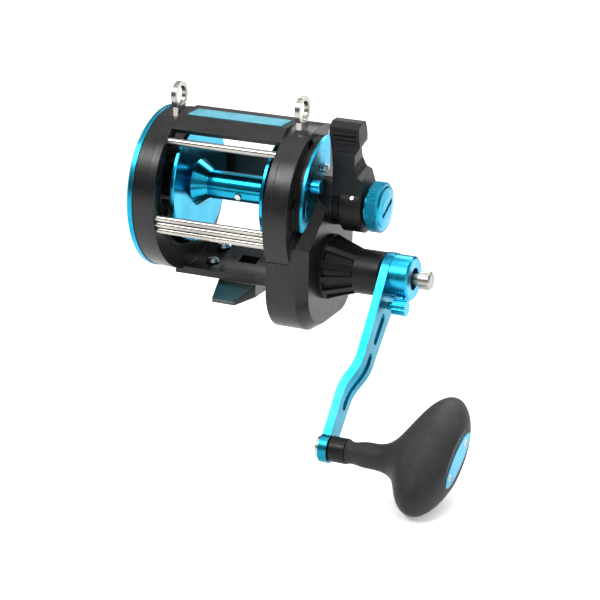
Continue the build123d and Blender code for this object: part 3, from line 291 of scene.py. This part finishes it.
blue = (0.010, 0.335, 0.52)
worn_blue = (0.16, 0.58, 0.74)
finishes = {
    "blue_ring": metal("blue_ring", blue, 0.24, 0.0004, worn_blue, lathe=ring_axis),
    "blue_spool": metal("blue_spool", blue, 0.18, 0.0003, worn_blue, lathe=spool_axis),
    "blue_boss": metal("blue_boss", blue, 0.26, 0.0003, worn_blue, lathe=main_axis),
    "blue_knurl": knurled("blue_knurl", blue, worn_blue, knob_axis, knob_radius),
    # crossbar inlay: the same blue made lighter, a painted highlight standing in for the light
    # its glossy face reflects
    "blue_strip_painted_highlight": metal("blue_strip_painted_highlight", (0.13, 0.50, 0.62), 0.30, 0.0002, (0.30, 0.70, 0.82),
                        metallic=0.55),
    # handle arm: the same anodised blue at about 0.67 of its colour, painted shade that tones
    # down how brightly the arm is lit
    "blue_arm_painted_shade": metal("blue_arm_painted_shade", (0.007, 0.225, 0.34), 0.30, 0.0004, (0.22, 0.66, 0.80),
                      grain=(1, 1, 0.1)),
    "blue_flat": metal("blue_flat", blue, 0.26, 0.0004, worn_blue, grain=(0.2, 1, 1)),
    "black_cast": satin_black("black_cast", (0.0060, 0.0062, 0.0068), 0.30, 0.0005,
                              (0.07, 0.072, 0.076), 1600.0, 0.00002, 0.36),
    "black_moulded": satin_black("black_moulded", (0.0040, 0.0040, 0.0045), 0.40, 0.0004,
                                 (0.04, 0.04, 0.043), 1300.0, 0.00003, 0.22),
    "stainless": metal("stainless", (0.43, 0.41, 0.375), 0.22, 0.0003, (0.78, 0.76, 0.72),
                       grain=(0.05, 1, 1)),
    "screw_steel": metal("screw_steel", (0.60, 0.60, 0.59), 0.26, 0.0002, (0.85, 0.85, 0.84)),
    "bearing_steel": metal("bearing_steel", (0.58, 0.58, 0.58), 0.20, 0.0002,
                           (0.8, 0.8, 0.8), lathe=spool_axis),
    "gear_steel": metal("gear_steel", (0.36, 0.35, 0.33), 0.32, 0.0002, (0.6, 0.59, 0.56)),
    "brass": metal("brass", (0.70, 0.50, 0.20), 0.28, 0.0002, (0.9, 0.72, 0.38)),
    "foot_metal": metal("foot_metal", (0.075, 0.088, 0.082), 0.36, 0.0005, (0.22, 0.24, 0.23),
                        grain=(1, 0.1, 1)),
    "rubber": rubber(),
    "carbon": carbon(),
}

wearing = {
    "blue_ring": ["left_cap_ring"],
    "blue_spool": ["spool"],
    "blue_boss": ["handle_boss"],
    "blue_strip_painted_highlight": ["crossbar_inlay"],
    "blue_knurl": ["preset_knob"],
    "blue_flat": ["quadrant", "strike_stop", "click_button",
                  "release_latch", "grip_badge"],
    "blue_arm_painted_shade": ["handle_arm"],
    "black_cast": ["frame", "left_side_plate", "right_side_plate"],
    "black_moulded": ["drag_lever", "handle_sleeve", "grip_collar"],
    "stainless": ["upper_rod", "lower_rods", "harness_lug_left", "harness_lug_right"],
    "screw_steel": ["foot_screws", "left_plate_screws", "line_anchor_screw", "quadrant_screws",
                    "right_plate_screws", "detent_screw", "grub_screw",
                    "grip_post", "grip_screws"],
    "bearing_steel": ["left_shaft_bearing", "spool_bearings", "spool_shaft", "drive_plate",
                      "right_shaft_bearing", "main_bearing_inner", "one_way_clutch",
                      "main_bearing_outer", "spring_washers", "main_shaft", "shift_spring",
                      "grip_bearing"],
    "gear_steel": ["click_pawl", "click_ratchet", "low_pinion", "high_pinion", "drag_cam",
                   "high_drive_gear", "shift_rod"],
    "brass": ["low_drive_gear"],
    "foot_metal": ["reel_foot"],
    "rubber": ["grip_body"],
    "carbon": ["drag_washer"],
}
for finish, names in wearing.items():
    for name in names:
        for slot in nodes[name].material_slots:
            slot.material = finishes[finish]


# ---------------------------------------------------------------- floor, light and camera
def floor():
    mesh = bpy.data.meshes.new("floor")
    far = floor_reach
    mesh.from_pydata([(-far, -far, 0), (far, -far, 0), (far, far, 0), (-far, far, 0)],
                     [], [(0, 1, 2, 3)])
    obj = bpy.data.objects.new("floor", mesh)
    bpy.context.scene.collection.objects.link(obj)
    obj.location.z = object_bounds()[0][2] - floor_gap
    f = Finish("studio_floor", (0.86, 0.86, 0.86), 0.0, 0.7)
    tone = f.blend(f.noise(3.0, 2.0), (0.85, 0.85, 0.85), (0.88, 0.88, 0.88))
    f.link(tone, f.shader.inputs["Emission Color"])
    f.shader.inputs["Emission Strength"].default_value = 0.35
    obj.data.materials.append(f.done(tone))
    obj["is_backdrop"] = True


def area_light(name, place, target, size, power, tint=(1, 1, 1)):
    light = bpy.data.lights.new(name, "AREA")
    light.shape = "RECTANGLE"
    light.size, light.size_y = size
    light.energy = power
    light.color = tint
    obj = bpy.data.objects.new(name, light)
    bpy.context.scene.collection.objects.link(obj)
    obj.location = place
    obj.rotation_euler = (Vector(target) - Vector(place)).to_track_quat("-Z", "Y").to_euler()


def studio_world():
    """Soft box overhead fading into a dim room at the horizon."""
    world = bpy.data.worlds.new("studio")
    world.use_nodes = True
    tree = world.node_tree
    shine = tree.nodes["Background"]
    split = tree.nodes.new("ShaderNodeSeparateXYZ")
    tree.links.new(tree.nodes.new("ShaderNodeTexCoord").outputs["Generated"], split.inputs[0])
    ramp = tree.nodes.new("ShaderNodeValToRGB")
    tree.links.new(split.outputs["Z"], ramp.inputs["Fac"])
    stops = ramp.color_ramp.elements
    stops[0].position = 0.05
    stops[0].color = (0.10, 0.10, 0.105, 1)
    stops[1].position = 0.85
    stops[1].color = (1, 1, 1, 1)
    middle_stop = stops.new(0.35)
    middle_stop.color = (0.30, 0.30, 0.31, 1)
    tree.links.new(ramp.outputs["Color"], shine.inputs["Color"])
    shine.inputs["Strength"].default_value = 0.75
    bpy.context.scene.world = world


def camera():
    azimuth, elevation, roll = camera_azimuth, camera_elevation, camera_roll
    side = Vector((math.cos(azimuth), math.sin(azimuth), 0))
    back = Vector((math.sin(azimuth) * math.cos(elevation),
                   -math.cos(azimuth) * math.cos(elevation), math.sin(elevation)))
    over = back.cross(side)
    right = side * math.cos(roll) + over * math.sin(roll)
    up = over * math.cos(roll) - side * math.sin(roll)
    data = bpy.data.cameras.new("camera")
    data.lens = camera_lens
    data.sensor_width = 36.0
    data.clip_start = 0.05
    data.clip_end = 30.0
    obj = bpy.data.objects.new("camera", data)
    bpy.context.scene.collection.objects.link(obj)
    turn = Matrix((right, up, back)).transposed().to_4x4()
    obj.matrix_world = Matrix.Translation(camera_place) @ turn
    bpy.context.scene.camera = obj


floor()
target = (0.02, -0.01, 0.05)
area_light("key_light", (-0.45, -0.75, 1.0), target, (0.55, 0.40), 10.0)
area_light("side_light", (0.95, -0.55, 0.55), target, (0.30, 0.80), 3.2)
area_light("back_light", (0.15, 0.75, 0.75), target, (1.2, 0.35), 8.0)
area_light("top_light", (0.05, 0.05, 1.2), target, (0.7, 0.7), 7.0)
studio_world()
bpy.context.scene.view_settings.view_transform = "Standard"
camera()
